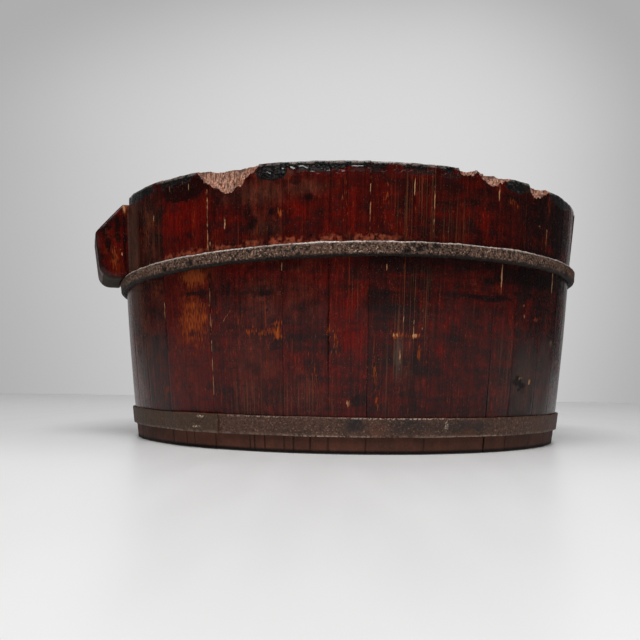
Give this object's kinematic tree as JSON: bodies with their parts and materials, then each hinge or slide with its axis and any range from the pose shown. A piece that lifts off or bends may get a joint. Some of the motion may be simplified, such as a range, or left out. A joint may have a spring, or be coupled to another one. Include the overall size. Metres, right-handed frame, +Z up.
{
  "type": "lacquered wooden tub",
  "caption": "Coopered round wooden tub with tapered staves, carved lifting lugs, a forged iron hoop, a riveted iron band and a grooved-in board bottom.",
  "frame": {"origin": "on the floor under the centre of the tub's overall box, on the tub's own axis", "axes": "+Z up along the tub's axis, -Y towards the front seen in the picture, +X to the right, near the line from lug to lug"},
  "size_m": [0.49, 0.4522, 0.22],
  "materials": {
    "lacquered_wood": "dark red-brown translucent lacquer over vertical-grained wood, glossy and worn",
    "bare_wood": "aged bare softwood, water-darkened",
    "bamboo": "whittled bamboo",
    "forged_iron": "pitted brown-rusted forged bar, worn bright along its top edge",
    "strip_iron": "thin brown-rusted strip with dark patches"
  },
  "bodies": {
    "root": {"handle_stave_left": "lacquered_wood", "handle_stave_right": "lacquered_wood", "front_stave_01": "lacquered_wood", "front_stave_02": "lacquered_wood", "front_stave_03": "lacquered_wood", "front_stave_04": "lacquered_wood", "front_stave_05": "lacquered_wood", "front_stave_06": "lacquered_wood", "front_stave_07": "lacquered_wood", "front_stave_08": "lacquered_wood", "front_stave_09": "lacquered_wood", "front_stave_10": "lacquered_wood", "front_stave_11": "lacquered_wood", "front_stave_12": "lacquered_wood", "front_stave_13": "lacquered_wood", "front_stave_14": "lacquered_wood", "back_stave_01": "lacquered_wood", "back_stave_02": "lacquered_wood", "back_stave_03": "lacquered_wood", "back_stave_04": "lacquered_wood", "back_stave_05": "lacquered_wood", "back_stave_06": "lacquered_wood", "back_stave_07": "lacquered_wood", "back_stave_08": "lacquered_wood", "back_stave_09": "lacquered_wood", "back_stave_10": "lacquered_wood", "back_stave_11": "lacquered_wood", "back_stave_12": "lacquered_wood", "back_stave_13": "lacquered_wood", "upper_hoop": "forged_iron", "lower_band": "strip_iron", "band_rivet_1": "strip_iron", "band_rivet_2": "strip_iron", "bottom_board_1": "bare_wood", "bottom_board_2": "bare_wood", "bottom_board_3": "bare_wood", "bottom_board_4": "bare_wood", "bottom_board_5": "bare_wood", "bottom_dowel_1": "bamboo", "bottom_dowel_2": "bamboo", "bottom_dowel_3": "bamboo", "bottom_dowel_4": "bamboo", "bottom_dowel_5": "bamboo", "bottom_dowel_6": "bamboo", "bottom_dowel_7": "bamboo", "bottom_dowel_8": "bamboo"}
  },
  "joints": []
}
